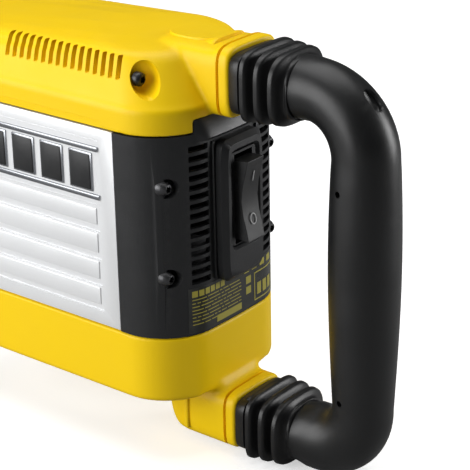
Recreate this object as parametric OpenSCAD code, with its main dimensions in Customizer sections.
// Electric demolition hammer: an upright motor drives a crank, piston and ram along a horizontal barrel,
// and a sprung D-handle carries the machine at the rear. The tool end points along -X.

/* [Body] */
// Width of the motor body
body_w = 121; // [116:0.5:126]
// Length of the motor body, front plate to rear face
body_l = 200; // [196:1:210]
// Radius of the upright corners at the rear
corner_r = 34.4; // [28:0.2:38]
// Height of the rear cover and the side panels
panel_h = 130; // [128:0.5:132]
// Depth of the lower cover below them
lower_h = 42.6; // [40:0.1:44]
// Height of the upright band at the foot of the top cover
band_h = 17; // [14:0.5:18]
// Height of the leaning wall above the band
lean_h = 27; // [24:0.5:30]
// Distance that the leaning wall comes in on each side
lean_in = 16.5; // [12:0.5:18]
// Rise of the crown above the leaning wall
crown_h = 3.5; // [1:0.5:5]
// Wall thickness of the mouldings
wall = 3; // [2.5:0.1:3.5]
// Joint between rear cover and side panels, ahead of the rear face
panel_joint = 40.8; // [38:0.1:44]

/* [Handle] */
// Distance of the grip's centre line behind the rear face
grip_x = 98.3; // [95:0.1:102]
// Height of the upper arm's centre line above the rear cover's lower edge
arm_top_z = 160; // [158:0.5:162]
// Height of the lower arm's centre line
arm_low_z = -64; // [-66:0.5:-62]
// Radius of the grip at its thickest
grip_r = 21.7; // [19:0.1:23]
// Radius of the tube in the arms and bends
arm_r = 19; // [17:0.1:20]
// Centre line radius of the upper bend
bend_top_r = 37; // [32:0.5:42]
// Centre line radius of the lower bend
bend_low_r = 30; // [27:0.5:34]
// Travel of the sprung handle
handle_travel = 8; // [4:0.5:8]

/* [Bellows] */
// Width of the collar
collar_w = 48; // [44:0.5:50]
// Height of the collar
collar_h = 38; // [34:0.5:40]
// Distance from one fold to the next
fold_pitch = 10.8; // [9:0.1:12]
// How far a fold stands proud of the collar
fold_rise = 3.6; // [2:0.1:5]

/* [Switch and louvres] */
// Height of the rocker's pivot
rocker_z = 82; // [78:0.5:86]
// Height of the rocker
rocker_h = 52; // [46:0.5:56]
// Width of the rocker
rocker_w = 16.4; // [14:0.2:18]
// Number of louvres in each column
louvre_n = 15; // [8:1:15]
// Distance from one louvre to the next
louvre_pitch = 6.05; // [5:0.05:6.5]
// Height of a louvre
louvre_h = 3.8; // [2:0.1:4.2]
// Number of slanted vents in each side of the top cover
vent_n = 16; // [6:1:18]
// Distance from one vent to the next
vent_pitch = 6; // [5:0.1:7]

/* [Impact mechanism] */
// Height of the tool axis above the rear cover's lower edge
axis_z = 124; // [122:0.5:126]
// Bore of the tool holder for an 18 mm shank
shank_r = 9; // [9:0.1:9.5]
// Radius of the piston and the ram
piston_r = 20; // [18:0.5:21]
// Crank radius, half of the piston's stroke
crank_r = 17; // [12:0.5:18]
// Length of the connecting rod between its eyes
rod_l = 78; // [76:0.5:80]
// Gear module
gear_m = 1.5; // [1.5:0.25:1.5]
// Teeth on the crank gear
gear_z = 49; // [45:1:49]
// Teeth on the motor pinion
pinion_z = 9; // [8:1:11]

/* [Barrel and tool holder] */
// Radius of the barrel housing
barrel_r = 41; // [38:0.5:42]
// Distance from the rear face to the nose of the dust cap
nose_x = 440; // [436:1:446]
// Centre line half width of the side handle
loop_w = 54; // [50:1:56]

/* [Hidden] */
$fn = 64;
eps = 0.01;
gap = 0.3;                                   // clearance between mouldings
run = 0.03;                                  // radial running clearance
slots_from = 120;                            // top louvre's upper edge
half_w = body_w / 2;
roof_z = panel_h + band_h;                   // top of the upright band
lean_z = roof_z + lean_h;                    // top of the leaning wall
motor_x = -72;
gear_gap = gear_m * (gear_z + pinion_z) / 2; // centre distance of the gear pair
crank_x = motor_x - gear_gap;
wrist_x = crank_x + crank_r - rod_l;         // wrist pin with the crank at its rear dead centre
case_z = 69;                                 // underside of the gear case floor
case_front = -158;
case_rear = -40;
cyl_front = -318;
gland_z = -31;
gear_low = 92;
gear_top = 104;
socket_end = 20;                             // rear end of the handle sockets
socket_w = 49;
socket_h = 43;
fold_start = socket_end + 11;
arm_end = socket_end + 24 + handle_travel;   // forward end of the handle's arms
grip_top = arm_top_z - bend_top_r;
grip_low = arm_low_z + bend_low_r;
bolt_x = -306;                               // rear end of the impact bolt
holder_rear = -346;
plate_front = -212;
flange_front = -360;                         // front of the tool holder's rear flange
band_x = -303;                               // centre of the side handle's clamp
band_l = 26;
loop_top = axis_z - 90;
rest_z = arm_low_z - 22;                     // the surface that the hammer rests on
loop_low_r = 17;
loop_low = rest_z + loop_low_r;
rear_most = grip_x + grip_r;
screw_y = 50;                                // rear cover screws, on both sides
screw_z = [39.9, 98];
screw_x = -10.6;                             // seat of their heads
top_screw_y = half_w - 16;                   // top cover screws, on both sides
top_screw_z = panel_h + 30;
top_seat_x = -31;                            // seat of their heads
pocket_y = half_w - 12;                      // bore that they are driven through
pocket_z = panel_h + 32.6;
groove_z = [10.6, 27.9, 45.4, 64];           // fine grooves in the side panels
badge_x = -150;                              // front end of the badge
badge_l = 97.5;
badge_low = 83.4;
badge_h = 35.2;
plate_screw_y = 44;                          // front plate screws, on both sides
plate_screw_z = [-20, 152];
clamp_z = axis_z - 60;                       // axis of the clamp's bolt

// Moves the working frame (rear face and lower edge of the rear cover) to the part's origin.
module place() translate([(nose_x - rear_most) / 2, 0, -rest_z]) children();
module x_rod(r, x0, x1, y = 0, z = 0) translate([x0, y, z]) rotate([0, 90, 0]) cylinder(r = r, h = x1 - x0);
module y_rod(r, y0, y1, x = 0, z = 0) translate([x, y0, z]) rotate([-90, 0, 0]) cylinder(r = r, h = y1 - y0);
module z_rod(r, z0, z1, x = 0, y = 0) translate([x, y, z0]) cylinder(r = r, h = z1 - z0);
module both_sides() {
    children();
    mirror([0, 1, 0]) children();
}
module block(x0, x1, w, z0, z1) translate([x0, -w / 2, z0]) cube([x1 - x0, w, z1 - z0]);
// Ring around the tool axis
module x_ring(ro, ri, x0, x1, z = axis_z) difference() {
    x_rod(ro, x0, x1, 0, z);
    x_rod(ri, x0 - 1, x1 + 1, 0, z);
}
// Rectangle with round corners, centred
module round_rect(a, b, r) {
    square([a - 2 * r, b], center = true);
    square([a, b - 2 * r], center = true);
    for (x = [-1, 1], y = [-1, 1]) translate([x * (a / 2 - r), y * (b / 2 - r)]) circle(r);
}
// Round-cornered bar along X, w wide and h high
module x_bar(w, h, r, x0, x1, z) translate([x0, 0, z]) rotate([90, 0, 90])
    linear_extrude(x1 - x0) round_rect(w, h, r);
// Body outline seen from above, shrunk by s on every side but the front one
module outline(s = 0, x0 = -body_l) intersection() {
    union() {
        translate([x0, -half_w + s]) square([-x0 - corner_r, body_w - 2 * s]);
        translate([-corner_r - 1, -half_w + corner_r]) square([corner_r + 1 - s, body_w - 2 * corner_r]);
        for (y = [-1, 1]) translate([-corner_r, y * (half_w - corner_r)]) circle(corner_r - s);
    }
    translate([x0, -half_w]) square([-x0 + 1, body_w]);
}
module outline_wall(z0, z1, x0 = -body_l, s = 0, t = wall) difference() {
    translate([0, 0, z0]) linear_extrude(z1 - z0) outline(s, x0);
    translate([0, 0, z0 - 1]) linear_extrude(z1 - z0 + 2) outline(s + t, x0 - 2);
}
// Solid of the top cover, shrunk by s
module top_solid(s = 0) hull() {
    $fn = 32;
    translate([0, 0, panel_h - (s > 0 ? 2 : 0)]) linear_extrude(band_h + (s > 0 ? 2 - s / 2 : 0)) outline(s);
    translate([0, 0, lean_z - s]) linear_extrude(eps)
        translate([-body_l - (s > 0 ? 1 : 0), -half_w + lean_in + s])
            square([body_l - 14 - s, body_w - 2 * (lean_in + s)]);
    translate([0, 0, lean_z + crown_h - s]) linear_extrude(eps)
        translate([-body_l - (s > 0 ? 1 : 0), -half_w + lean_in + 18])
            square([body_l - 26 - s, body_w - 2 * (lean_in + 18)]);
}

// --- Covers ---
module lower_cover() color("gold") place() {
    difference() {
        union() {
            outline_wall(-lower_h, -gap);
            translate([0, 0, -lower_h]) linear_extrude(wall) outline();
            block(-34, -4, 42, arm_low_z, -lower_h + 6);
            x_bar(socket_w, socket_h, 10, -34, socket_end, arm_low_z);
        }
        x_rod(9, -36, socket_end + 1, 0, arm_low_z);
        x_rod(10.5, -10.5, socket_end + 1, 0, arm_low_z);
        y_rod(7, half_w - 5, half_w + 5, -60, gland_z);
        for (x = [-180, -60]) both_sides() z_rod(2.3, -lower_h - 1, -lower_h + 5, x, 44);
    }
}
module top_cover() color("gold") place() difference() {
    union() {
        difference() {
            top_solid();
            top_solid(wall);
        }
        x_bar(socket_w, socket_h, 10, -26, socket_end, arm_top_z);
        intersection() {
            top_solid();
            both_sides() x_rod(11, top_seat_x - 5, -8, pocket_y, pocket_z);
        }
    }
    translate([-30, -34.8, panel_h - 1]) cube([60, 69.6, 9.2 - gap]);
    x_rod(9, -60, socket_end + 1, 0, arm_top_z);
    x_rod(10.5, -10.5, socket_end + 1, 0, arm_top_z);
    both_sides() {
        x_rod(8.6, top_seat_x, 10, pocket_y, pocket_z);
        x_rod(2.3, top_seat_x - 6, 0, top_screw_y, top_screw_z);
        for (i = [0 : vent_n - 1]) translate([-43.2 - i * vent_pitch, half_w - 22, panel_h + 36.2])
            rotate([0, -14, 0]) translate([-1.65, -4, -6.5]) cube([3.3, 24, 13]);
    }
}
module rear_cover() color("#26282a") place() difference() {
    union() {
        outline_wall(gap, panel_h - gap, -panel_joint);
        block(-wall, 0.5, 69, 1, panel_h + 7.5);
        both_sides() for (z = screw_z) x_rod(5.7, -30, screw_x, screw_y, z);
    }
    both_sides() {
        for (i = [0 : louvre_n - 1]) translate([-9, 23.5, slots_from - louvre_h - i * louvre_pitch])
            cube([12, 18.5, louvre_h]);
        for (z = screw_z) {
            x_rod(6.2, screw_x, 10, screw_y, z);
            x_rod(2.3, -31, 0, screw_y, z);
        }
    }
    block(-10, 10, 24.6, 52, 113);
}
module side_panel_shape() color("#d8dadc") place() difference() {
    translate([-body_l + 0.2, half_w - wall, gap]) cube([body_l - panel_joint - 0.5, wall, panel_h - 2 * gap]);
    for (z = groove_z) translate([-190, half_w - 1, z - 1]) cube([135, 4, 2]);
    translate([badge_x, half_w - 1, badge_low]) cube([badge_l, 4, badge_h]);
}
module side_panel_left() mirror([0, 1, 0]) side_panel_shape();
module side_panel_right() side_panel_shape();
module badges() color("#3a3c40") place() both_sides()
    translate([badge_x + gap, half_w - 0.9, badge_low + gap]) cube([badge_l - 2 * gap, 1.4, badge_h - 2 * gap]);

// --- Switch, plate and screws on the rear face ---
module switch_frame() color("#1c1d1f") place() difference() {
    x_bar(39, 92, 5, 0.6, 9, rocker_z - 6);
    x_bar(24.6, 61, 3, 0, 10, rocker_z + 0.5);
}
module switch_body() color("#1c1d1f") place() difference() {
    x_bar(24, 60, 2.5, -24, 9.6, rocker_z + 0.5);
    block(-15, 12, rocker_w + 1, rocker_z - rocker_h / 2 - 3, rocker_z + rocker_h / 2 + 3);
    y_rod(2.2 + run, -13, 13, 3, rocker_z);
}
module rocker() color("#303234") place() {
    difference() {
        rotate([90, 0, 0]) linear_extrude(rocker_w, center = true) polygon([
            [19, rocker_z + rocker_h / 2], [13.5, rocker_z], [19, rocker_z - rocker_h / 2],
            [8, rocker_z - rocker_h / 2 + 0.4], [-3, rocker_z - 6], [-3, rocker_z + 6],
            [8, rocker_z + rocker_h / 2 - 0.4]]);
        y_rod(2, -9, 9, 3, rocker_z);
    }
    y_rod(2.2, -11, 11, 3, rocker_z);
}
module rating_plate() color("#8f7d1e") place() block(0.6, 1.4, 52, 3, 29);
module rear_cover_screws() color("#3a3b3d") place() both_sides() for (z = screw_z) difference() {
    union() {
        x_rod(4.7, screw_x + 0.1, screw_x + 3.4, screw_y, z);
        x_rod(2.1, -38, screw_x + 0.1, screw_y, z);
    }
    x_rod(1.9, screw_x + 1.8, screw_x + 4, screw_y, z);
}
module top_cover_screws() color("#3a3b3d") place() both_sides() difference() {
    union() {
        x_rod(3.9, top_seat_x + 0.1, top_seat_x + 3, top_screw_y, top_screw_z);
        x_rod(2.1, -48, top_seat_x + 0.1, top_screw_y, top_screw_z);
    }
    x_rod(1.9, top_seat_x + 1.6, top_seat_x + 4, top_screw_y, top_screw_z);
}

// --- Motor ---
module motor_housing() color("#2b2d30") place() difference() {
    union() {
        both_sides() {
            translate([-195, 53.6, -20]) cube([150, 3, 88]);
            x_rod(6, -52, -32, screw_y, screw_z[0]);
            translate([-52, screw_y - 2, screw_z[0] - 6]) cube([8, 6, 12]);
        }
        block(-195, -45, 108, -26, -18);
        block(-195, -45, 108, 65, 68.6);
    }
    z_rod(11 + run, -25, 0, motor_x);
    z_rod(6, -30, 0, motor_x);
    z_rod(24, 60, 70, motor_x);
    z_rod(24, 60, 70, crank_x);
    both_sides() x_rod(2.15, -60, -31, screw_y, screw_z[0]);
}
module field() color("#6d6f73") place() difference() {
    z_rod(44, 0, 52, motor_x);
    z_rod(26.6, -1, 53, motor_x);
    for (a = [45 : 90 : 315]) translate([motor_x, 0, 26]) rotate(a) translate([33, -5, -30]) cube([6, 10, 60]);
}
module armature_core() color("#a86a3a") place() difference() {
    z_rod(26, 2, 50, motor_x);
    z_rod(5.2, 1, 51, motor_x);
    for (i = [0 : 11]) translate([motor_x, 0, 0]) rotate(i * 30) translate([20, -1, 1]) cube([8, 2, 50]);
}
// Straight-toothed wheel with a bore
module spur(n, z0, z1, bore) difference() {
    pitch_r = gear_m * n / 2;
    root_r = pitch_r - 1.2 * gear_m;
    tip_r = pitch_r + 0.9 * gear_m;
    half = 90 / n;
    translate([0, 0, z0]) linear_extrude(z1 - z0) polygon([for (i = [0 : n - 1])
        for (p = [[root_r, -1.3], [pitch_r, -0.8], [tip_r, -0.25],
                  [tip_r, 0.25], [pitch_r, 0.8], [root_r, 1.3]])
            p[0] * [cos(i * 360 / n + p[1] * half), sin(i * 360 / n + p[1] * half)]]);
    translate([0, 0, z0 - 1]) cylinder(r = bore, h = z1 - z0 + 2);
}
module armature_shaft() color("#b9bcc0") place() {
    z_rod(4.9, -24.5, 66, motor_x);
    z_rod(7.4, 66, gear_low - 2, motor_x);
    translate([motor_x, 0, 0]) rotate(pinion_z % 2 == 0 ? 180 / pinion_z : 0)
        spur(pinion_z, gear_low - 2, gear_top + 1, 1);
}
module commutator() color("#b87333") place() difference() {
    z_rod(14, -17, -1, motor_x);
    z_rod(5, -18, 0, motor_x);
    for (i = [0 : 15]) translate([motor_x, 0, 0]) rotate(i * 22.5) translate([13, -0.4, -18])
        cube([2, 0.8, 18]);
}
module fan() color("#3d4044") place() difference() {
    union() {
        z_rod(36, 55, 56.6, motor_x);
        z_rod(10, 55, 63, motor_x);
        for (i = [0 : 8]) translate([motor_x, 0, 56]) rotate(i * 40) translate([9, -0.8, 0]) cube([26, 1.6, 7]);
    }
    z_rod(5, 50, 65, motor_x);
}
module motor_bearings() color("#c3c6ca") place() {
    difference() {
        z_rod(11, -24.8, -18.2, motor_x);
        z_rod(5, -26, -17, motor_x);
    }
    difference() {
        z_rod(15, 70, 79, motor_x);
        z_rod(7.5, 69, 80, motor_x);
    }
}
module brush_holders() color("#7a5a20") place() both_sides() difference() {
    translate([motor_x - 8, 17, -17.5]) cube([16, 26, 16.5]);
    translate([motor_x - 5, 16, -14.5]) cube([10, 24, 10.5]);
}
module brushes() color("#2f2f2f") place() both_sides()
    translate([motor_x - 4.8, 14.3, -14.3]) cube([9.6, 19, 10]);
module electronics_module() color("#23402c") place() {
    block(-190, -140, 70, 6, 9);
    block(-184, -150, 50, 9, 30);
}
module cable_gland() color("#1d1e20") place() difference() {
    union() {
        y_rod(6.8, half_w - 5.5, half_w + 1, -60, gland_z);
        y_rod(9.5, half_w + 0.2, half_w + 5, -60, gland_z);
    }
    y_rod(4.2, half_w - 9, half_w + 7, -60, gland_z);
}

// --- Gear case and crank ---
module gear_case() color("#9a9da1") place() difference() {
    union() {
        block(case_front - 6, case_rear, 92, case_z, 160);
        intersection() {
            both_sides() x_rod(3.8, -50, top_seat_x - 5.6, top_screw_y, top_screw_z);
            top_solid(wall + 0.5);
        }
    }
    block(-60, -30, 84.8, 160, 166);
    both_sides() x_rod(2.15, -49, -30, top_screw_y, top_screw_z);
    block(case_front, case_rear - 5, 80, 80, 161);
    z_rod(15 + run, case_z + 1, 81, motor_x);
    z_rod(9, case_z - 1, 81, motor_x);
    z_rod(18 + run, case_z + 1, 81, crank_x);
    z_rod(12, case_z - 1, 81, crank_x);
    x_rod(24.2, case_front - 7, case_front + 1, 0, axis_z);
}
module gear_case_lid() color("#a5a8ac") place() block(case_front - 6, case_rear, 84, 160.3, 164);
module crank_gear() color("#8d9096") place() translate([crank_x, 0, 0]) difference() {
    spur(gear_z, gear_low, gear_top, 12);
    for (i = [0 : 5]) rotate(i * 60 + 30) translate([24, 0, gear_low - 1]) cylinder(r = 5, h = 20);
}
module crank_shaft() color("#a9acb0") place() difference() {
    union() {
        z_rod(9, case_z + 2, gear_low, crank_x);
        z_rod(11.98, gear_low, gear_top, crank_x);
        z_rod(26, gear_top + 0.5, gear_top + 9, crank_x);
        z_rod(11.98, gear_top - 1, gear_top + 2, crank_x);
    }
    z_rod(7, gear_top + 4, gear_top + 10, crank_x + crank_r);
}
module crank_bearing() color("#c3c6ca") place() difference() {
    z_rod(18, case_z + 1.1, 80.5, crank_x);
    z_rod(9 + run, case_z, 82, crank_x);
}
module crank_pin() color("#c9ccd0") place() difference() {
    union() {
        z_rod(7, gear_top + 9.6, axis_z + 9, crank_x + crank_r);
        z_rod(9, axis_z + 7.2, axis_z + 9, crank_x + crank_r);
    }
    z_rod(2, axis_z, axis_z + 12, crank_x + crank_r);
}
module connecting_rod() color("#8f9296") place() difference() {
    union() {
        z_rod(12, axis_z - 7, axis_z + 7, crank_x + crank_r);
        z_rod(10, axis_z - 6, axis_z + 6, wrist_x);
        block(wrist_x, crank_x + crank_r, 11, axis_z - 5, axis_z + 5);
    }
    z_rod(7.02, axis_z - 9, axis_z + 9, crank_x + crank_r);
    z_rod(5 + run, axis_z - 9, axis_z + 9, wrist_x);
}
module wrist_pin() color("#c9ccd0") place() difference() {
    z_rod(5, axis_z - 16, axis_z + 16, wrist_x);
    z_rod(2, axis_z - 17, axis_z + 17, wrist_x);
}
module piston() color("#b4b7bb") place() difference() {
    x_rod(piston_r - run, wrist_x - 20, wrist_x + 14, 0, axis_z);
    x_rod(14.5, wrist_x - 12, wrist_x + 15, 0, axis_z);
    z_rod(5.01, axis_z - 30, axis_z + 30, wrist_x);
    x_ring(piston_r + 2, piston_r - 2.2, wrist_x - 17.5, wrist_x - 14.5);
}
module ring_seal(x) x_ring(piston_r - 0.02, piston_r - 2.15, x, x + 2.8);
module piston_ring() color("#1a1a1a") place() ring_seal(wrist_x - 17.4);
module cylinder_liner() color("#b9bdc2") place() difference() {
    x_ring(piston_r + 3.6, piston_r, cyl_front, case_front - 1);
    for (a = [0 : 60 : 300]) translate([-262, 0, axis_z]) rotate([a, 0, 0]) z_rod(2, 15, 30);
}
module ram() color("#a3a6aa") place() difference() {
    union() {
        x_rod(piston_r - run, -297, -256, 0, axis_z);
        x_rod(12, -301, -296, 0, axis_z);
    }
    x_ring(piston_r + 2, piston_r - 2.2, -263, -260);
}
module ram_ring() color("#1a1a1a") place() ring_seal(-262.9);
module impact_bolt() color("#a3a6aa") place() {
    x_rod(13, bolt_x - 30, bolt_x, 0, axis_z);
    x_rod(10, bolt_x - 66, bolt_x - 29, 0, axis_z);
}
module bolt_guide() color("#7f8286") place() difference() {
    x_rod(26, -344, -319, 0, axis_z);
    x_rod(13 + run, -345, -318, 0, axis_z);
}

// --- Barrel and tool holder ---
module front_plate() color("#2a2c2f") place() difference() {
    x_bar(body_w - 4, 206, 22, plate_front, -200.3, 66);
    x_rod(35, plate_front - 1, -199, 0, axis_z);
    both_sides() for (z = plate_screw_z) x_rod(3.3, -220, -199, plate_screw_y, z);
}
module barrel_housing() color("#2a2c2f") place() difference() {
    union() {
        x_rod(47, -226, plate_front - gap, 0, axis_z);
        x_rod(barrel_r, -330, -220, 0, axis_z);
        x_rod(32, -346, -330, 0, axis_z);
        for (a = [-60 : 30 : 60]) translate([-284, 0, axis_z]) rotate([a, 0, 0]) translate([0, -2, 38])
            cube([62, 4, 6.5]);
    }
    x_rod(35, -310, -199, 0, axis_z);
    x_rod(26 + run, -345, -300, 0, axis_z);
    x_rod(20, -350, -340, 0, axis_z);
}
module barrel_screws() color("#4a4c4f") place() both_sides() for (z = plate_screw_z) difference() {
    union() {
        x_rod(5, -217, -212.1, plate_screw_y, z);
        x_rod(3, -212.1, -196, plate_screw_y, z);
    }
    x_rod(2.5, -218, -214, plate_screw_y, z);
}
module tool_holder() color("#8a8d91") place() difference() {
    union() {
        x_rod(24.5, flange_front, holder_rear - 0.3, 0, axis_z);
        x_rod(18, -428, holder_rear - 7, 0, axis_z);
        x_rod(16, -434, -427, 0, axis_z);
    }
    x_rod(shank_r, -435, holder_rear + 1, 0, axis_z);
    x_rod(10 + run, -382, holder_rear, 0, axis_z);
    both_sides() translate([-412, 8.5, axis_z - 2.6]) cube([16, 8, 5.2]);
}
module locking_rollers() color("#c9ccd0") place() both_sides() x_rod(2.4, -411.7, -396.3, 11.8, axis_z);
module retainer_ring() color("#6c6e71") place() x_ring(21.5, 18.1, -424, -421);
module lock_sleeve() color("#1f2022") place() difference() {
    union() {
        x_rod(28.5, -418, -357, 0, axis_z);
        x_rod(30, -418, -410, 0, axis_z);
        for (i = [0 : 11]) translate([-395, 0, axis_z]) rotate([i * 30, 0, 0]) translate([-14, -2.5, 26])
            cube([44, 5, 3.6]);
    }
    x_rod(18.3, -420, -350, 0, axis_z);
    x_rod(25, -404, -350, 0, axis_z);
}
// Coil spring along X as one swept tube, with n rings in a turn and k points in a ring
module coil(x0, x1, r, wire, turns, n, k) {
    steps = turns * n;
    ring = function(i) let (a = 360 * i / n, x = x0 + (x1 - x0) * i / steps) [for (j = [0 : k - 1])
        let (b = 360 * j / k, q = r + wire * cos(b)) [x + wire * sin(b), q * cos(a), q * sin(a)]];
    points = [for (i = [0 : steps]) each ring(i)];
    sides = [for (i = [0 : steps - 1], j = [0 : k - 1])
        [i * k + j, i * k + (j + 1) % k, (i + 1) * k + (j + 1) % k, (i + 1) * k + j]];
    first = [for (j = [k - 1 : -1 : 0]) j];
    last = [for (j = [0 : k - 1]) steps * k + j];
    polyhedron(points, concat(sides, [first], [last]));
}
module sleeve_spring() color("#c9ccd0") place() translate([0, 0, axis_z])
    coil(-402.5, flange_front - 1.4, 21.2, 1.1, 6, 16, 6);
module dust_cap() color("#1a1b1c") place() difference() {
    union() {
        x_rod(24, -437, -425, 0, axis_z);
        x_rod(18, -nose_x, -436, 0, axis_z);
    }
    x_rod(18.3, -428.3, -424, 0, axis_z);
    x_rod(16.2, -434.2, -425, 0, axis_z);
    x_rod(10.2, -nose_x - 1, -430, 0, axis_z);
}

// --- Side handle on the barrel ---
module clamp_band() color("#3c3e41") place() difference() {
    union() {
        x_rod(barrel_r + 5, band_x - band_l / 2, band_x + band_l / 2, 0, axis_z);
        translate([band_x - 11, -16, axis_z - 68]) cube([22, 32, 28]);
    }
    x_rod(barrel_r + gap, band_x - band_l, band_x + band_l, 0, axis_z);
    translate([band_x - 15, -11, axis_z - 69]) cube([30, 22, 22]);
    y_rod(4.2, -20, 20, band_x, clamp_z);
}
module clamp_bolt() color("#b9bcc0") place() {
    y_rod(4, -20, 16.2, band_x, clamp_z);
    y_rod(7, 16.3, 21, band_x, clamp_z);
    y_rod(4, 16, 17, band_x, clamp_z);
}
module clamp_knob() color("#1f2022") place() difference() {
    union() {
        y_rod(10, -25, -16.4, band_x, clamp_z);
        translate([band_x, -24, clamp_z]) rotate([90, 0, 0]) linear_extrude(14) union() {
            circle(12.4);
            for (i = [0 : 4]) rotate(i * 72 + 8) translate([11, 0]) circle(5.4);
        }
    }
    y_rod(4 + run, -32, -16, band_x, clamp_z);
}
// Quarter of a round bar in the YZ plane, about a centre, from angle a
module yz_bend(r, tube, y, z, a) translate([band_x, y, z]) rotate([90, 0, 90]) rotate(a)
    rotate_extrude(angle = 90) translate([r, 0]) circle(tube);
module side_handle_loop() color("#232527") place() {
    bend = 24;                               // centre line radius of its corners
    arm = 11.5;                              // radius of its tube
    difference() {
        union() {
            translate([band_x - 9, -10.5, loop_top - 4]) cube([18, 21, axis_z - 50 - loop_top + 4]);
            y_rod(arm, -loop_w + bend, loop_w - bend, band_x, loop_top);
        }
        y_rod(4.3, -12, 12, band_x, clamp_z);
    }
    both_sides() {
        yz_bend(bend, arm, loop_w - bend, loop_top - bend, 0);
        z_rod(arm, loop_low + bend, loop_top - bend, band_x, loop_w);
        yz_bend(bend, arm, loop_w - bend, loop_low + bend, 270);
    }
    difference() {
        y_rod(loop_low_r, -loop_w + bend, loop_w - bend, band_x, loop_low);
        y_rod(6, -loop_w + bend - 1, loop_w - bend + 1, band_x, loop_low);
    }
}

// --- Sprung rear handle ---
module bellows(z) color("#191a1b") place() difference() {
    union() {
        x_bar(collar_w, collar_h, 9, socket_end + 0.2, fold_start, z);
        x_bar(collar_w - 5, collar_h - 4, 9, socket_end + 5, arm_end + 6, z);
        for (i = [0 : 2]) x_bar(collar_w + 1.6 * fold_rise, collar_h + 2 * fold_rise - 1.2 * i, 15 + i,
            fold_start + i * fold_pitch - 0.8, fold_start + i * fold_pitch + 6, z);
    }
    x_rod(15, socket_end - 1, arm_end - 9, 0, z);
    x_rod(arm_r + 0.35, arm_end - 9.5, arm_end + 20, 0, z);
}
module bellows_upper() bellows(arm_top_z);
module bellows_lower() bellows(arm_low_z);
// Grip profile: thickest a little above its middle, thinner at both bends
function grip_radius(t) = arm_r - 0.6 + (grip_r - arm_r + 0.6) * sin(180 * pow(t, 0.86));
module grip_body(s) rotate_extrude() polygon(concat([[0, grip_top]], [for (i = [0 : 16]) let (t = i / 16)
    [grip_radius(1 - t) - s, grip_top + (grip_low - grip_top) * t]], [[0, grip_low]]));
module xz_bend(r, tube, x, z, a) translate([x, 0, z]) rotate([90, 0, 0]) rotate(a)
    rotate_extrude(angle = 90) translate([r, 0]) circle(tube);
// Whole handle tube, shrunk by s
module handle_tube(s = 0) {
    translate([grip_x, 0, 0]) grip_body(s);
    xz_bend(bend_top_r, arm_r - s - 0.6, grip_x - bend_top_r, grip_top, 0);
    xz_bend(bend_low_r, arm_r - s - 0.6, grip_x - bend_low_r, grip_low, 270);
    x_rod(arm_r - s, arm_end + s, grip_x - bend_top_r + 1, 0, arm_top_z);
    x_rod(arm_r - s, arm_end + s, grip_x - bend_low_r + 1, 0, arm_low_z);
}
screw_at = [[grip_x - 6, 108], [grip_x - 5, -26]];
module handle_half() difference() {
    handle_tube();
    handle_tube(4);
    translate([-50, -60, -120]) cube([220, 60.05, 330]);
    for (p = screw_at) y_rod(2.2, -1, 60, p[0], p[1]);
    for (z = [arm_top_z, arm_low_z]) x_rod(6.2, arm_end - 5, arm_end + 5, 0, z);
}
module handle_left() color("#1e1f21") place() mirror([0, 1, 0]) handle_half();
module handle_right() color("#1e1f21") place() handle_half();
module handle_screws() color("#4a4c4f") place() for (p = screw_at) {
    y_rod(2, -18, 16, p[0], p[1]);
    y_rod(2.15, -19, -17, p[0], p[1]);
}
module guide_pins() color("#c9ccd0") place() for (z = [arm_top_z, arm_low_z]) {
    x_rod(6, -18, arm_end + 3, 0, z);
    x_rod(14.2, arm_end + 4.5, arm_end + 8, 0, z);
    x_rod(6, arm_end + 2, arm_end + 5, 0, z);
}
module guide_bushes() color("#8a7a3a") place() for (z = [arm_top_z, arm_low_z]) difference() {
    x_rod(10.4, -10.4, 19, 0, z);
    x_rod(6 + run, -12, 20, 0, z);
}
module handle_springs() color("#b9bcc0") place() for (z = [arm_top_z, arm_low_z]) translate([0, 0, z])
    coil(socket_end + 1.4, arm_end - 1.5, 11, 1.3, 5, 16, 6);

lower_cover();
top_cover();
rear_cover();
side_panel_left();
side_panel_right();
badges();
switch_frame();
switch_body();
rocker();
rating_plate();
rear_cover_screws();
top_cover_screws();
motor_housing();
field();
armature_core();
armature_shaft();
commutator();
fan();
motor_bearings();
brush_holders();
brushes();
electronics_module();
cable_gland();
gear_case();
gear_case_lid();
crank_gear();
crank_shaft();
crank_bearing();
crank_pin();
connecting_rod();
wrist_pin();
piston();
piston_ring();
cylinder_liner();
ram();
ram_ring();
impact_bolt();
bolt_guide();
front_plate();
barrel_housing();
barrel_screws();
tool_holder();
locking_rollers();
retainer_ring();
lock_sleeve();
sleeve_spring();
dust_cap();
clamp_band();
clamp_bolt();
clamp_knob();
side_handle_loop();
bellows_upper();
bellows_lower();
handle_left();
handle_right();
handle_screws();
guide_pins();
guide_bushes();
handle_springs();
